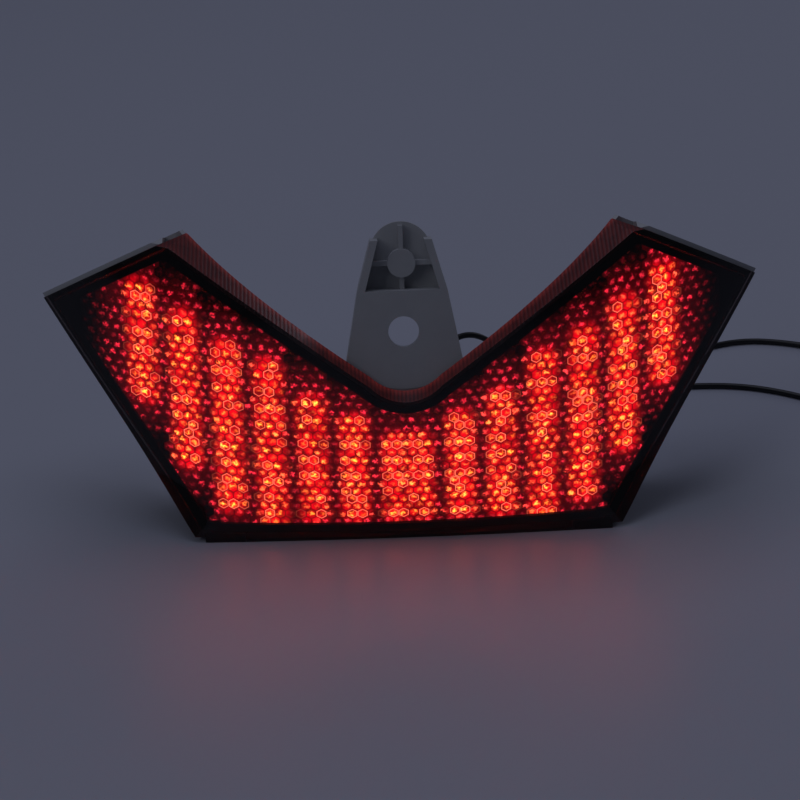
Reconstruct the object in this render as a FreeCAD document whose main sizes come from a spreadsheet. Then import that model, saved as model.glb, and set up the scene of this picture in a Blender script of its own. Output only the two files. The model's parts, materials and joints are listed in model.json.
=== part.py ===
import FreeCAD, Part
import Sketcher
import math
import os

from FreeCAD import Placement, Rotation, Vector

# Motorcycle LED tail light: a V-shaped smoked lens on a light-grey housing with a central bracket.
# X runs to the right, Z up. "Depth" is measured from the front-most point of the lens towards the
# back, along +Y, and the whole assembly is moved forward by half its depth at the end of each piece,
# so that the origin is at the middle of the footprint, on the surface that the light stands on.

os.makedirs("parts", exist_ok=True)
doc = FreeCAD.newDocument("TailLight")

SIZES = [
    # overall form
    ("width", 228.0, "tip to tip"),
    ("depth", 66.4, "front of the lens to the back of the wings"),
    ("tip_height", 69.4, "height of the wing tips"),
    ("corner_x", 75.7, "half distance between the upper corners of the lens face"),
    ("corner_height", 94.4, "height of those corners"),
    ("base_half", 65.0, "half width of the sill that it stands on"),
    ("side_foot_half", 68.2, "half width where the side walls end"),
    ("side_foot_height", 1.8, "height of the step at the end of the side walls"),
    ("side_hollow", 1.3, "how far the side edge bows inwards"),
    ("vee_height", 49.9, "height of the bottom of the V"),
    ("vee_fillet_half", 11.0, "half width of the rounded bottom of the V"),
    ("vee_fillet_rise", 4.7, "height of that rounding"),
    ("vee_mid_x", 45.1, "a point half way up the V edge"),
    ("vee_mid_height", 75.25, "its height"),
    ("vee_far_x", 97.0, "where the V edge would end at zero depth"),
    ("vee_far_height", 97.1, "its height"),
    ("vee_draft", 0.25, "rise of the V wall for each mm towards the back"),
    ("brow_draft", 0.45, "fall of the outer top wall for each mm towards the back"),
    # the curved face
    ("sweep_radius", 178.0, "plan radius of the face in its upper part"),
    ("belly_radius", 185.0, "radius of the face in side view"),
    ("belly_height", 34.0, "height of the front-most point"),
    ("blend_height", 22.0, "the sill is straight, and the sweep grows over about twice this height"),
    ("sill_sweep", 0.06, "share of the sweep left at the sill"),
    # lens and joint
    ("lens_wall", 2.4, "thickness of the lens"),
    ("lens_depth", 17.0, "depth of the side walls of the lens"),
    ("rim_radius", 90.0, "plan radius of the joint line behind the V"),
    ("rim_centre_depth", 6.6, "depth of the joint line at the middle"),
    ("bead_half", 0.5, "half the gap that the bonding bead fills"),
    ("bead_inset", 0.7, "bead set in from the outside of the lens wall"),
    ("bead_width", 1.4, "width of the bead"),
    # housing
    ("flange", 2.5, "thickness of the rim flange of the housing"),
    ("flange_inset", 3.0, "the flange is set in from the V edge of the lens"),
    ("housing_wall", 2.4, "wall of the housing"),
    ("tray_inset", 0.8, "the tray behind the flange is set in by this"),
    ("roof_low", 55.0, "height of the tray roof at the middle, at zero depth"),
    ("roof_low_x", 8.0, "a point on that roof"),
    ("roof_low_rise", 2.2, "its rise above the middle"),
    ("roof_mid_x", 38.0, "a point on that roof"),
    ("roof_mid", 81.5, "its height"),
    ("roof_far_x", 75.0, "a point on that roof"),
    ("roof_far", 122.0, "its height"),
    ("roof_fall", 0.6, "fall of the tray roof for each mm towards the back"),
    ("back_depth", 29.0, "outside of the back wall, behind the face"),
    ("brow_lip", 1.6, "height of the brow lip above the lens"),
    ("brow_start", 1.5, "the brow lip starts this far behind the face"),
    ("brow_inner_x", 74.0, "inner end of the brow lip"),
    ("fit_gap", 0.1, "clearance between fitted pieces"),
    ("sill_lip_half", 52.0, "half width of the lip under the lens"),
    ("sill_lip", 1.0, "thickness of that lip"),
    ("sill_lip_back", 0.4, "the lip starts this far behind the face"),
    # bracket
    ("bracket_lean", 20.0, "lean of the bracket, degrees"),
    ("bracket_depth", 6.5, "depth of its front plate at the bottom of the V"),
    ("bracket_foot_half", 20.1, "half width at the foot"),
    ("ledge_half", 14.0, "half width at the ledge"),
    ("shoulder_half", 9.6, "half width at the shoulders"),
    ("ledge_up", 32.4, "foot to ledge, along the plate"),
    ("shoulder_up", 48.1, "foot to shoulders, along the plate"),
    ("crown_up", 53.2, "foot to the rounded top, along the plate"),
    ("bracket_plate", 3.0, "thickness of the front plate"),
    ("bracket_side", 2.4, "thickness of its side walls"),
    ("recess", 9.0, "depth of the recess above the ledge"),
    ("back_plate", 2.5, "thickness of the plate behind the recess"),
    ("hole_up", 19.6, "foot to the middle of the hole, along the plate"),
    ("hole_radius", 4.8, "radius of the mounting hole"),
    ("boss_up", 40.5, "foot to the middle of the boss, along the plate"),
    ("boss_radius", 4.4, "radius of the boss in the recess"),
    ("boss_front", 4.0, "depth of the front end of the boss"),
    ("boss_hole_radius", 2.5, "radius of the blind hole in the back of the boss"),
    ("boss_hole_length", 5.5, "its length"),
    ("rib", 1.5, "thickness of the recess ribs"),
    # inner optics
    ("bezel_depth", 2.5, "front of the mask frame, behind the face"),
    ("bezel_wall", 1.3, "its thickness"),
    ("bezel_edge", 2.7, "its outer edge, in from the outside"),
    ("bezel_border", 5.2, "its window, in from the outside"),
    ("bezel_tip_x", 101.0, "outer end of its window"),
    ("optic_depth", 4.0, "front of the prism panel, behind the face"),
    ("optic_wall", 2.0, "its thickness"),
    ("optic_edge", 4.4, "its outer edge, in from the outside"),
    # circuit boards
    ("board", 1.6, "thickness of the boards"),
    ("centre_board_depth", 19.5, "depth of the front of the centre board"),
    ("centre_board_half", 35.5, "half its width"),
    ("wing_board_x", 36.5, "inner edge of a wing board"),
    ("wing_board_depth", 20.0, "depth of its front there"),
    ("wing_angle", 24.8, "sweep of a wing board, degrees"),
    ("board_low", 4.5, "lower edge of the boards"),
    # LEDs
    ("led_radius", 2.5, "radius of an LED"),
    ("led_height", 8.6, "height of an LED"),
    ("led_flange_radius", 2.9, "radius of its flange"),
    ("led_flange", 1.0, "thickness of its flange"),
    ("led_pitch", 6.4, "from LED to LED in a column"),
    ("column_first", 3.6, "half the gap between the two middle columns"),
    ("column_pitch", 13.03, "from column to column"),
    ("column_low_0", 9.0, "lowest LED of each column, from the middle out"),
    ("column_low_1", 9.0, ""),
    ("column_low_2", 9.0, ""),
    ("column_low_3", 7.0, ""),
    ("column_low_4", 12.0, ""),
    ("column_low_5", 26.0, ""),
    ("column_low_6", 46.0, ""),
    # fasteners and small parts
    ("screw_radius", 1.2, "radius of a board screw"),
    ("screw_length", 5.5, "its length under the head"),
    ("screw_head_radius", 2.4, "radius of its head"),
    ("screw_head", 1.8, "height of its head"),
    ("screw_gap", 0.05, "clearance round its shank"),
    ("board_hole", 0.2, "clearance round it in the boards"),
    ("post_radius", 3.0, "radius of the posts that carry the boards"),
    ("resistor_radius", 1.15, "radius of a resistor"),
    ("resistor_length", 6.2, "its length"),
    ("diode_radius", 1.35, "radius of a diode"),
    ("diode_length", 5.2, "its length"),
    ("jumper_radius", 0.5, "radius of a jumper wire"),
    # leads
    ("lead_radius", 1.0, "radius of a lead"),
    ("signal_exit_x", 10.0, "where the signal lead leaves the back wall"),
    ("signal_exit_height", 33.0, ""),
    ("main_exit_x", 10.0, "where the main lead leaves the back wall"),
    ("main_exit_height", 14.0, ""),
    ("gland_pad_radius", 5.5, "radius of the pad round a grommet"),
    ("gland_pad", 2.0, "flat end of that pad, behind the front-most point of the back wall"),
    ("grommet_neck", 3.1, "radius of a grommet in the wall"),
    ("grommet_flange", 4.2, "radius of its flange"),
    ("grommet_lip", 1.5, "thickness of its flange"),
    ("grommet_tail", 5.0, "length of its tapered tail"),
    ("breather_x", -18.0, "place of the breather plug"),
    ("breather_height", 12.0, ""),
    ("breather_radius", 2.2, "radius of its neck"),
    ("breather_head", 3.4, "radius of its head"),
    # coils, ties and connectors
    ("coil_radius", 11.0, "radius at the middle of a coil's turns"),
    ("coil_half", 2.1, "half the thickness of a coil"),
    ("tie", 0.7, "thickness of a coil tie"),
    ("tie_width", 3.0, "its width"),
    ("tail", 18.0, "from the middle of a coil's turns to the connector"),
    ("plug_half_x", 4.6, "half width of the plug"),
    ("plug_half_z", 2.9, "half height of the plug"),
    ("plug_length", 15.0, "its length"),
    ("mouth_half_x", 3.6, "half width of its mouth"),
    ("mouth_half_z", 1.9, "half height of its mouth"),
    ("mouth_depth", 9.0, "depth of its mouth"),
    ("blade_offset", 1.8, "from the middle of the mouth to each blade"),
    ("blade_half", 1.0, "half width of a blade"),
    ("sleeve_radius", 2.6, "radius of the bullet sleeve"),
    ("sleeve_length", 14.0, "its length"),
    ("pin_radius", 1.9, "radius of the bullet pin"),
    ("pin_out", 5.0, "how far the pin stands out of the sleeve"),
]

sheet = doc.addObject("Spreadsheet::Sheet", "Sizes")
for row, (alias, value, note) in enumerate(SIZES, start=1):
    sheet.set(f"A{row}", alias)
    sheet.set(f"B{row}", str(value))
    sheet.set(f"C{row}", note)
    sheet.setAlias(f"B{row}", alias)
doc.recompute()


def size(alias):
    """The value of one named cell."""
    return float(getattr(sheet, alias))


FAR = 160.0        # behind and beyond every piece
SIDES = (-1, 1)    # left and right
COLUMN_COUNTS = (5, 6, 7, 9, 9, 8, 6)    # LEDs in each column, from the middle out
FORWARD = Vector(0, -size("depth") / 2, 0)
pieces = []


def register(feature, place=None):
    """Keep a finished piece for writing, moved to the frame of the whole light."""
    moved = Placement(FORWARD, Rotation())
    feature.Placement = moved.multiply(place) if place else moved
    pieces.append(feature)
    return feature


def shape_piece(label, shape):
    """A piece whose shape Part's own functions made."""
    feature = doc.addObject("Part::Feature", label)
    feature.Label = label
    feature.Shape = shape
    return register(feature, shape.Placement)


# ---------------------------------------------------------------- curved forms

def face_depth(x, height):
    """Depth of the lens face at a point, behind its front-most point."""
    blend = math.tanh(max(height, 0.0) / size("blend_height"))
    share = size("sill_sweep") + (1 - size("sill_sweep")) * blend
    radius = size("sweep_radius") / share
    sweep = radius - math.sqrt(radius * radius - x * x)
    return sweep + (height - size("belly_height")) ** 2 / (2 * size("belly_radius"))


def behind_face(offset):
    """Everything more than offset behind the lens face."""
    reach = size("width") / 2 + 12
    bottom, top, count = -2.0, size("corner_height") + 20, 9
    heights = [bottom + (top - bottom) * n / (count - 1) for n in range(count)]
    sections = []
    for height in heights:
        left = Vector(-reach, face_depth(-reach, height) + offset, height)
        middle = Vector(0, face_depth(0, height) + offset, height)
        right = Vector(reach, left.y, height)
        back_right = Vector(reach, FAR, height)
        back_left = Vector(-reach, FAR, height)
        edges = [
            Part.Arc(left, middle, right).toShape(),
            Part.LineSegment(right, back_right).toShape(),
            Part.LineSegment(back_right, back_left).toShape(),
            Part.LineSegment(back_left, left).toShape(),
        ]
        sections.append(Part.Wire(edges))
    return Part.makeLoft(sections, True, False)


def behind_rim(offset):
    """Everything more than offset behind the joint line of lens and housing."""
    radius = size("rim_radius")
    half = radius * 0.93
    depth = size("rim_centre_depth") + offset
    end = depth + radius - math.sqrt(radius * radius - half * half)
    left, middle, right = Vector(-half, end, -5), Vector(0, depth, -5), Vector(half, end, -5)
    corners = [right, Vector(half, FAR, -5), Vector(-half, FAR, -5), left]
    edges = [Part.Arc(left, middle, right).toShape()]
    edges += [Part.LineSegment(a, b).toShape() for a, b in zip(corners, corners[1:])]
    plan = Part.Face(Part.Wire(edges)).extrude(Vector(0, 0, FAR))
    return plan.fuse(behind_face(size("lens_depth") + offset))


# ---------------------------------------------------------------- outline of the lamp

def front_face(points):
    """A flat face in the front plane from (x, height) points; a triple is an arc's middle point."""
    edges = []
    start = points[0]
    middle = None
    for point in points[1:] + points[:1]:
        if len(point) == 3:
            middle = point
            continue
        a, b = Vector(start[0], 0, start[1]), Vector(point[0], 0, point[1])
        if middle:
            edges.append(Part.Arc(a, Vector(middle[0], 0, middle[1]), b).toShape())
        else:
            edges.append(Part.LineSegment(a, b).toShape())
        start, middle = point, None
    return Part.Face(Part.Wire(edges))


def run_back(face, slope):
    """Extrude a front-plane face from before the lamp to behind it, climbing by slope per mm."""
    ahead = 6.0
    face = face.translated(Vector(0, -ahead, -ahead * slope))
    return face.extrude(Vector(0, FAR, FAR * slope))


def side_edge(inset):
    """Foot, middle and tip of the right side edge, set in by inset, and a point well past the tip."""
    foot = Vector(size("side_foot_half"), 0, size("side_foot_height"))
    tip = Vector(size("width") / 2, 0, size("tip_height"))
    along = (tip - foot).normalize()
    inward = Vector(-along.z, 0, along.x)
    middle = (foot + tip) * 0.5 + inward * (size("side_hollow") + inset)
    foot, tip = foot + inward * inset, tip + inward * inset
    return foot, middle, tip, tip + along * 30


def notch(inset, slope):
    """The V of the lens, made larger all round by inset."""
    low = Vector(0, 0, size("vee_height"))
    ease = Vector(size("vee_fillet_half"), 0, size("vee_height") + size("vee_fillet_rise"))
    middle = Vector(size("vee_mid_x"), 0, size("vee_mid_height"))
    far = Vector(size("vee_far_x"), 0, size("vee_far_height"))
    rise = math.atan2(far.z - ease.z, far.x - ease.x)
    out = Vector(math.sin(rise), 0, -math.cos(rise)) * inset
    low, ease, middle, far = low - Vector(0, 0, inset), ease + out, middle + out, far + out
    sky = Vector(far.x, 0, FAR)
    points = [(-ease.x, ease.z), (low.x, low.z, 0), (ease.x, ease.z), (middle.x, middle.z, 0)]
    points += [(far.x, far.z), (sky.x, sky.z), (-sky.x, sky.z), (-far.x, far.z), (-middle.x, middle.z, 0)]
    return run_back(front_face(points), slope)


def roof_notch(inset):
    """The V that the roof of the housing tray follows, larger by inset, falling towards the back."""
    drop = inset * 1.3
    low = size("roof_low") - drop
    ease_x, ease = size("roof_low_x"), low + size("roof_low_rise")
    mid_x, middle = size("roof_mid_x"), size("roof_mid") - drop
    far_x, far = size("roof_far_x"), size("roof_far") - drop
    points = [(-ease_x, ease), (0, low, 0), (ease_x, ease), (mid_x, middle, 0), (far_x, far)]
    points += [(far_x, FAR + far), (-far_x, FAR + far), (-far_x, far), (-mid_x, middle, 0)]
    return run_back(front_face(points), -size("roof_fall"))


def outer_top(inset):
    """What lies above the outer top walls, from the upper corners to the tips, lowered by inset."""
    corner_depth = face_depth(size("corner_x"), size("corner_height"))
    tip_depth = face_depth(size("width") / 2, size("tip_height"))
    fall = size("brow_draft")
    tip = size("tip_height") + fall * tip_depth
    corner = size("corner_height") + fall * corner_depth
    slope = (tip - corner) / (size("width") / 2 - size("corner_x"))
    drop = inset * math.sqrt(1 + slope * slope)
    inner_x, outer_x = 20.0, size("width") / 2 + 30
    inner = corner + slope * (inner_x - size("corner_x")) - drop
    outer = corner + slope * (outer_x - size("corner_x")) - drop
    cuts = []
    for side in SIDES:
        points = [(side * inner_x, inner), (side * outer_x, outer), (side * outer_x, FAR * 2)]
        points.append((side * inner_x, FAR * 2))
        cuts.append(run_back(front_face(points), -fall))
    return cuts


def band(inset, bottom):
    """The lamp's outline without the V: sill, side edges and tips, set in by inset."""
    foot, middle, tip, past = side_edge(inset)
    base = size("base_half") - inset
    step = max(foot.z, bottom + 0.5)
    points = [(-base, bottom), (base, bottom), (base, step), (foot.x, step), (middle.x, middle.z, 0)]
    points += [(tip.x, tip.z), (past.x, past.z), (-past.x, past.z), (-tip.x, tip.z)]
    points += [(-middle.x, middle.z, 0), (-foot.x, step), (-base, step)]
    return front_face(points)


def lens_block(inset, vee_inset=None, top_inset=None):
    """The lens form without its curved front and back, set in by inset."""
    vee_inset = inset if vee_inset is None else vee_inset
    top_inset = inset if top_inset is None else top_inset
    block = run_back(band(inset, max(inset, 0.0)), 0)
    return block.cut([notch(vee_inset, size("vee_draft"))] + outer_top(top_inset))


def tray_block(inset):
    """The housing tray's form without its curved back, set in by inset."""
    block = run_back(band(size("tray_inset") + inset, inset), 0)
    return block.cut([roof_notch(inset)] + outer_top(size("tray_inset") + inset))


# ---------------------------------------------------------------- lens, bead, mask and optic

def sill_lip_form(gap):
    """The lip of the housing that runs under the lens, grown by gap."""
    half = size("sill_lip_half") + gap
    lip = Part.makeBox(2 * half, FAR, size("sill_lip") + gap, Vector(-half, -6, 0))
    return lip.common(behind_face(size("sill_lip_back") - gap))


def make_lens():
    """Smoked outer lens: a curved face with walls that run back to the joint line."""
    outside = lens_block(0).common(behind_face(0)).cut(behind_rim(-size("bead_half")))
    cavity = lens_block(size("lens_wall")).common(behind_face(size("lens_wall")))
    brow_seat = lens_block(0).cut(lens_block(0, top_inset=size("fit_gap"))).common(
        behind_face(size("brow_start") - size("fit_gap")))
    return shape_piece("lens", outside.cut([cavity, brow_seat, sill_lip_form(size("fit_gap"))]))


def make_bead():
    """Bonding bead between the lens wall and the flange of the housing."""
    outer = size("bead_inset")
    inner = outer + size("bead_width")
    top = size("flange_inset") + 0.1
    ring = lens_block(outer, vee_inset=top).cut(lens_block(inner, vee_inset=top + size("bead_width") * 0.2))
    ring = ring.common(behind_rim(-size("bead_half"))).cut(behind_rim(size("bead_half")))
    return shape_piece("lens_bead", ring.cut(sill_lip_form(size("fit_gap"))))


def make_bezel():
    """Black mask frame that hides the edge of the lit field."""
    front = size("bezel_depth")
    plate = lens_block(size("bezel_edge")).common(behind_face(front))
    plate = plate.cut(behind_face(front + size("bezel_wall")))
    window = lens_block(size("bezel_border"))
    reach = size("bezel_tip_x")
    window = window.common(Part.makeBox(2 * reach, FAR, FAR, Vector(-reach, -6, 0)))
    return shape_piece("mask_frame", plate.cut(window))


def make_optic():
    """Prism panel behind the mask frame; its hexagonal lenslets are left plain here."""
    front = size("optic_depth")
    panel = lens_block(size("optic_edge")).common(behind_face(front))
    return shape_piece("prism_panel", panel.cut(behind_face(front + size("optic_wall"))))


# ---------------------------------------------------------------- bracket

def bracket_place():
    """The bracket's own frame: X across, Y through the plate, Z up along it."""
    lean = Rotation(Vector(1, 0, 0), -size("bracket_lean"))
    return Placement(Vector(0, size("bracket_depth"), size("vee_height")), lean)


def bracket_half(up):
    """Half width of the bracket at a level along its plate: one taper below the ledge, one above."""
    low_slope = (size("bracket_foot_half") - size("ledge_half")) / size("ledge_up")
    high_slope = (size("ledge_half") - size("shoulder_half")) / (size("shoulder_up") - size("ledge_up"))
    if up < size("ledge_up"):
        return size("bracket_foot_half") - low_slope * up
    return size("ledge_half") - high_slope * (up - size("ledge_up"))


def bracket_outline(levels, inset):
    """Front outline of the bracket through the given levels, set in by inset."""
    right = [(bracket_half(up) - inset, up) for up in levels]
    return right + [(-x, up) for x, up in reversed(right)]


def plate(points, start, thickness):
    """A flat plate of the bracket between two depths."""
    return front_face(points).translated(Vector(0, start, 0)).extrude(Vector(0, thickness, 0))


def make_bracket():
    """Channel-shaped bracket: front plate, ledge, side walls and a ribbed recess with a boss."""
    foot = -16.0
    back = size("recess") + size("back_plate")
    recess_floor = size("recess")
    side = size("bracket_side")
    ledge, shoulder = size("ledge_up"), size("shoulder_up")
    body = plate(bracket_outline((foot, ledge, shoulder), 0), 0, back)
    lower = bracket_outline((foot - 1, ledge - size("bracket_plate")), side)
    upper = bracket_outline((ledge, shoulder + 10), side)
    body = body.cut([plate(lower, size("bracket_plate"), FAR), plate(upper, -1, recess_floor + 1)])
    crown_radius = size("shoulder_half")
    crown_mid = size("crown_up") - crown_radius
    crown = Part.makeCylinder(crown_radius, size("back_plate"), Vector(0, recess_floor, crown_mid), Vector(0, 1, 0))
    rib = size("rib")
    rib_start = size("boss_front") + 1.5
    upright = Part.makeBox(rib, recess_floor - rib_start + 0.5, size("crown_up") - size("ledge_up") - 0.9,
                           Vector(-rib / 2, rib_start, size("ledge_up") - 0.1))
    across_half = size("ledge_half") - side
    across = Part.makeBox(2 * across_half, recess_floor - rib_start + 0.5, rib,
                          Vector(-across_half, rib_start, size("boss_up") - rib / 2))
    boss = Part.makeCylinder(size("boss_radius"), back - size("boss_front"),
                             Vector(0, size("boss_front"), size("boss_up")), Vector(0, 1, 0))
    body = body.fuse([crown, upright, across, boss])
    hole = Part.makeCylinder(size("hole_radius"), FAR, Vector(0, -5, size("hole_up")), Vector(0, 1, 0))
    boss_hole = Part.makeCylinder(size("boss_hole_radius"), size("boss_hole_length"),
                                  Vector(0, back, size("boss_up")), Vector(0, -1, 0))
    body = body.cut([hole, boss_hole])
    body.Placement = bracket_place()
    return body


# ---------------------------------------------------------------- places on the boards

def wing_direction(side):
    """Unit vectors of a wing board: along it towards the tip, and out of its front."""
    sweep = math.radians(size("wing_angle"))
    along = Vector(side * math.cos(sweep), math.sin(sweep), 0)
    front = Vector(side * math.sin(sweep), -math.cos(sweep), 0)
    return along, front


def on_board(side, x, height):
    """Point on the front of the board behind a place x from the middle, and the board's normal."""
    if x < (size("centre_board_half") + size("wing_board_x")) / 2:
        return Vector(side * x, size("centre_board_depth"), height), Vector(0, -1, 0)
    along, front = wing_direction(side)
    reach = (x - size("wing_board_x")) / abs(along.x)
    start = Vector(side * size("wing_board_x"), size("wing_board_depth"), height)
    return start + along * reach, front


def column_x(index):
    """Distance of an LED column's lit tips from the middle."""
    return size("column_first") + index * size("column_pitch")


def column_foot_x(index):
    """Distance of the column's feet: on a wing board the LEDs lean outwards."""
    lit = column_x(index)
    if lit < size("centre_board_half"):
        return lit
    return lit - (size("led_height") - size("led_radius")) * math.sin(math.radians(size("wing_angle")))


def between_columns(index):
    """Half way between the feet of two neighbouring columns."""
    return (column_foot_x(index) + column_foot_x(index + 1)) / 2


def screw_places():
    """Side, distance from the middle and height of each board screw."""
    pitch = size("led_pitch")
    spots = [
        (between_columns(1), size("column_low_1") + pitch / 2),
        (between_columns(1), size("column_low_1") + pitch * 4.8),
        (between_columns(3), size("column_low_3") + pitch),
        (between_columns(3), size("column_low_3") + pitch * 7.4),
        (between_columns(5), size("column_low_5") + pitch * 5.3),
    ]
    return [(side, x, height) for side in SIDES for x, height in spots]


def facing(base, normal):
    """Placement that stands a piece made along +Z on a surface point, along its normal."""
    return Placement(base, Rotation(Vector(0, 0, 1), normal))


# ---------------------------------------------------------------- housing

def gland_places():
    """Where each lead leaves: name, x and height."""
    return [
        ("main", size("main_exit_x"), size("main_exit_height")),
        ("signal", size("signal_exit_x"), size("signal_exit_height")),
    ]


def make_housing():
    """Light-grey housing: rim flange, tray, brow lips, sill lip, bracket, posts and lead exits."""
    start = size("bead_half")
    flange = lens_block(0, vee_inset=size("flange_inset"), top_inset=-size("brow_lip"))
    flange = flange.common(behind_rim(start)).cut(behind_rim(start + size("flange")))
    tray = tray_block(0).common(behind_rim(start + size("flange") / 2)).cut(behind_face(size("back_depth")))
    brow = lens_block(0, top_inset=-size("brow_lip")).cut(lens_block(0, top_inset=0))
    brow = brow.common(behind_face(size("brow_start"))).cut(behind_rim(start + size("flange")))
    reach = size("brow_inner_x")
    brow = brow.cut(Part.makeBox(2 * reach, FAR * 2, FAR * 2, Vector(-reach, -FAR / 2, -5)))
    lip = sill_lip_form(0).cut(behind_rim(start + size("flange")))
    bracket = make_bracket().common(behind_rim(start))
    bracket = bracket.cut(Part.makeBox(FAR, FAR, FAR, Vector(-FAR / 2, -6, size("roof_low") - 30 - FAR)))
    body = flange.fuse([tray, brow, lip, bracket])
    cavity = tray_block(size("housing_wall")).cut(behind_face(size("back_depth") - size("housing_wall")))
    body = body.cut(cavity)

    posts = []
    bores = []
    for side, x, height in screw_places():
        point, normal = on_board(side, x, height)
        seat = point - normal * size("board")
        posts.append(Part.makeCylinder(size("post_radius"), FAR / 4, seat, -normal))
        bore_radius = size("screw_radius") + size("screw_gap")
        bores.append(Part.makeCylinder(bore_radius, size("screw_length") - size("board") + 0.4, seat, -normal))
    inside_back = behind_face(size("back_depth") - size("housing_wall") / 2)
    posts = [post.cut(inside_back) for post in posts]

    inner = size("back_depth") - size("housing_wall")
    pads = []
    holes = []
    for _, x, height in gland_places():
        base = Vector(x, inner + 1, height)
        pads.append(Part.makeCylinder(size("gland_pad_radius"), pad_depth() - inner - 1, base,
                                      Vector(0, 1, 0)))
        holes.append(Part.makeCylinder(size("grommet_neck"), FAR, Vector(x, 0, height), Vector(0, 1, 0)))
    holes = [hole.common(behind_face(inner - 3)) for hole in holes]
    breather = Vector(size("breather_x"), inner - 2, size("breather_height"))
    holes.append(Part.makeCylinder(size("breather_radius"), FAR, breather, Vector(0, 1, 0)))
    body = body.fuse(posts + pads).cut(holes + bores)
    back_pads = Part.makeBox(FAR * 2, FAR, FAR * 2, Vector(-FAR, size("depth"), -20))
    return shape_piece("housing", body.cut(back_pads).removeSplitter())


# ---------------------------------------------------------------- boards (PartDesign)

def plane_of(body, role):
    """One of a body's own origin planes."""
    return next(item for item in body.Origin.OriginFeatures if item.Role == role)


def closed_outline(sketch, points, names):
    """Draw a closed outline; each corner's coordinates are bound to expressions where given."""
    count = len(points)
    for index, point in enumerate(points):
        after = points[(index + 1) % count]
        line = Part.LineSegment(Vector(point[0], point[1], 0), Vector(after[0], after[1], 0))
        sketch.addGeometry(line, False)
    for index in range(count):
        sketch.addConstraint(Sketcher.Constraint("Coincident", index, 2, (index + 1) % count, 1))
    for index, point in enumerate(points):
        for axis, kind in enumerate(("DistanceX", "DistanceY")):
            number = sketch.addConstraint(Sketcher.Constraint(kind, -1, 1, index, 1, point[axis]))
            name = names.get((index, axis))
            if name:
                sketch.setExpression(f"Constraints[{number}]", name)


def make_board(label, points, names):
    """A board: its outline sketched on the XZ plane and padded by the board's thickness."""
    body = doc.addObject("PartDesign::Body", label)
    body.Label = label
    sketch = body.newObject("Sketcher::SketchObject", label + "_outline")
    sketch.AttachmentSupport = [(plane_of(body, "XZ_Plane"), "")]
    sketch.MapMode = "FlatFace"
    closed_outline(sketch, points, names)
    doc.recompute()
    pad = body.newObject("PartDesign::Pad", label + "_pad")
    pad.Profile = sketch
    pad.setExpression("Length", "Sizes.board")
    pad.Reversed = True
    doc.recompute()
    return body


def centre_board_points():
    """Outline of the centre board: level below, following the V above."""
    half = size("centre_board_half")
    low = size("board_low")
    margin = size("led_flange_radius") + 0.4
    tops = [size(f"column_low_{n}") + (COLUMN_COUNTS[n] - 1) * size("led_pitch") + margin for n in range(3)]
    right = [(half, low), (half, tops[2] + 6.5), (column_x(2) - margin - 2, tops[2] - 2)]
    right += [(column_x(1) - margin, tops[1]), (column_x(0) + margin + 0.4, tops[0])]
    left = [(-x, height) for x, height in reversed(right)]
    return right + left


def wing_board_points(side):
    """Outline of a wing board, in distance along the board and height."""
    cosine = math.cos(math.radians(size("wing_angle")))
    start = size("wing_board_x")
    low = size("board_low")
    margin = size("led_flange_radius") + 1.0
    tops = [size(f"column_low_{n}") + (COLUMN_COUNTS[n] - 1) * size("led_pitch") + margin for n in range(7)]
    end = column_foot_x(6) + margin + 1.5
    outline = [
        (start, low),
        (column_foot_x(4) + margin, low + 4),
        (end, size("column_low_6") - margin - 1),
        (end, tops[6] - 3.5),
        (column_foot_x(6) - margin + 0.5, tops[6] + 1.2),
        (start, tops[3] - 2),
    ]
    return [(side * (x - start) / cosine, height) for x, height in outline]


def make_boards():
    """Centre board and two wing boards, with clearance holes for their screws."""
    half = "Sizes.centre_board_half"
    low = "Sizes.board_low"
    names = {(0, 0): half, (0, 1): low, (1, 0): half, (8, 0): "-" + half, (9, 0): "-" + half, (9, 1): low}
    centre_place = Placement(Vector(0, size("centre_board_depth"), 0), Rotation())
    boards = {0: (make_board("board_centre", centre_board_points(), names), centre_place)}
    for side, word in ((-1, "left"), (1, "right")):
        turn = Rotation(Vector(0, 0, 1), side * size("wing_angle"))
        place = Placement(Vector(side * size("wing_board_x"), size("wing_board_depth"), 0), turn)
        body = make_board("board_" + word, wing_board_points(side), {(0, 1): low})
        boards[side] = (body, place)
    limit = (size("centre_board_half") + size("wing_board_x")) / 2
    for key, (body, place) in boards.items():
        spots = [on_board(s, x, z)[0] for s, x, z in screw_places() if (0 if x < limit else s) == key]
        local = [place.inverse().multVec(spot) for spot in spots]
        cut_holes(body, local)
        register(body, place)


def cut_holes(body, spots):
    """Pocket round holes through a board at the given local places."""
    sketch = body.newObject("Sketcher::SketchObject", body.Label + "_holes")
    sketch.AttachmentSupport = [(plane_of(body, "XZ_Plane"), "")]
    sketch.MapMode = "FlatFace"
    radius = size("screw_radius") + size("board_hole")
    for index, spot in enumerate(spots):
        circle = Part.Circle(Vector(spot.x, spot.z, 0), Vector(0, 0, 1), radius)
        sketch.addGeometry(circle, False)
        sketch.addConstraint(Sketcher.Constraint("DistanceX", -1, 1, index, 3, spot.x))
        sketch.addConstraint(Sketcher.Constraint("DistanceY", -1, 1, index, 3, spot.z))
        number = sketch.addConstraint(Sketcher.Constraint("Radius", index, radius))
        sketch.setExpression(f"Constraints[{number}]", "Sizes.screw_radius + Sizes.board_hole")
    doc.recompute()
    before = body.Shape.Volume
    pocket = body.newObject("PartDesign::Pocket", body.Label + "_pocket")
    pocket.Profile = sketch
    pocket.setExpression("Length", "Sizes.board * 2")
    doc.recompute()
    if not body.Shape.Volume < before - 1:
        raise RuntimeError("the holes of " + body.Label + " cut nothing")


# ---------------------------------------------------------------- LEDs, screws and small parts

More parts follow.
